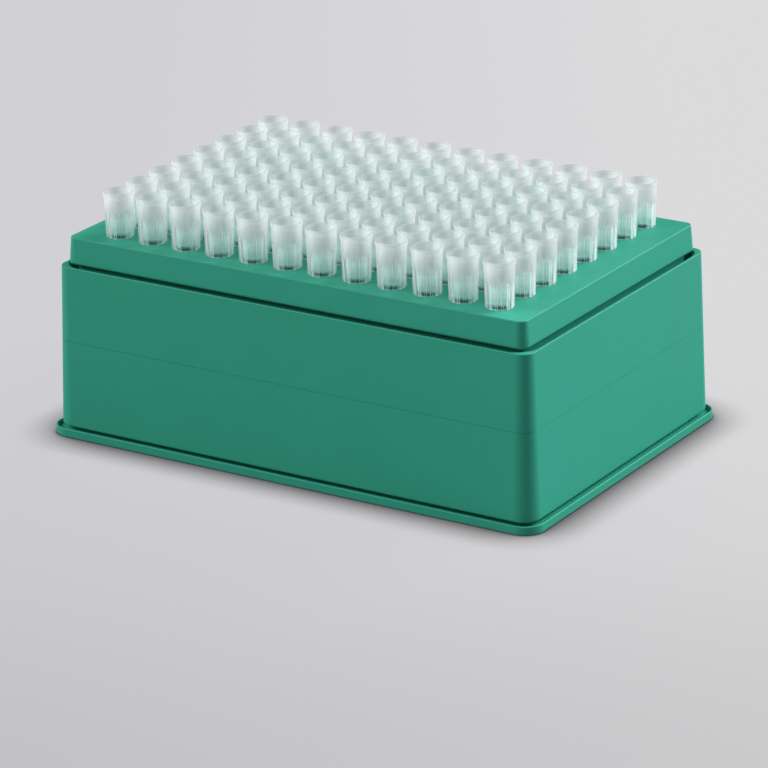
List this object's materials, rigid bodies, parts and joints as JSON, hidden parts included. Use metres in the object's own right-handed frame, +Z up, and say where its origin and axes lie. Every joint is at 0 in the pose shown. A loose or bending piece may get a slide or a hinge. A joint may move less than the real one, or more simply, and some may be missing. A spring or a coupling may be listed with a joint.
{
  "type": "box of pipette tips",
  "caption": "Rectangular rack box holding a 9 mm grid of tapered pipette tips, with a stepped top deck and a low lipped foot.",
  "frame": {"origin": "centre of the base, on the surface that the box stands on", "axes": "+X along the long side, +Y across it towards the first row of tips, +Z up"},
  "size_m": [0.1278, 0.0854, 0.0573],
  "materials": {
    "green_plastic": "moulded polypropylene, satin, very fine texture",
    "frosted_tip": "natural polypropylene, thin, frosty and translucent"
  },
  "bodies": {
    "root": {"base_tray": "green_plastic", "box_shell": "green_plastic", "rack_deck": "green_plastic", "tips_a1_b1": "frosted_tip", "tips_a2_b2": "frosted_tip", "tips_a3_b3": "frosted_tip", "tips_a4_b4": "frosted_tip", "tips_a5_b5": "frosted_tip", "tips_a6_b6": "frosted_tip", "tips_a7_b7": "frosted_tip", "tips_a8_b8": "frosted_tip", "tips_a9_b9": "frosted_tip", "tips_a10_b10": "frosted_tip", "tips_a11_b11": "frosted_tip", "tips_a12_b12": "frosted_tip", "tips_c1_d1": "frosted_tip", "tips_c2_d2": "frosted_tip", "tips_c3_d3": "frosted_tip", "tips_c4_d4": "frosted_tip", "tips_c5_d5": "frosted_tip", "tips_c6_d6": "frosted_tip", "tips_c7_d7": "frosted_tip", "tips_c8_d8": "frosted_tip", "tips_c9_d9": "frosted_tip", "tips_c10_d10": "frosted_tip", "tips_c11_d11": "frosted_tip", "tips_c12_d12": "frosted_tip", "tips_e1_f1": "frosted_tip", "tips_e2_f2": "frosted_tip", "tips_e3_f3": "frosted_tip", "tips_e4_f4": "frosted_tip", "tips_e5_f5": "frosted_tip", "tips_e6_f6": "frosted_tip", "tips_e7_f7": "frosted_tip", "tips_e8_f8": "frosted_tip", "tips_e9_f9": "frosted_tip", "tips_e10_f10": "frosted_tip", "tips_e11_f11": "frosted_tip", "tips_e12_f12": "frosted_tip", "tips_g1_h1": "frosted_tip", "tips_g2_h2": "frosted_tip", "tips_g3_h3": "frosted_tip", "tips_g4_h4": "frosted_tip", "tips_g5_h5": "frosted_tip", "tips_g6_h6": "frosted_tip", "tips_g7_h7": "frosted_tip", "tips_g8_h8": "frosted_tip", "tips_g9_h9": "frosted_tip", "tips_g10_h10": "frosted_tip", "tips_g11_h11": "frosted_tip", "tips_g12_h12": "frosted_tip"}
  },
  "joints": []
}
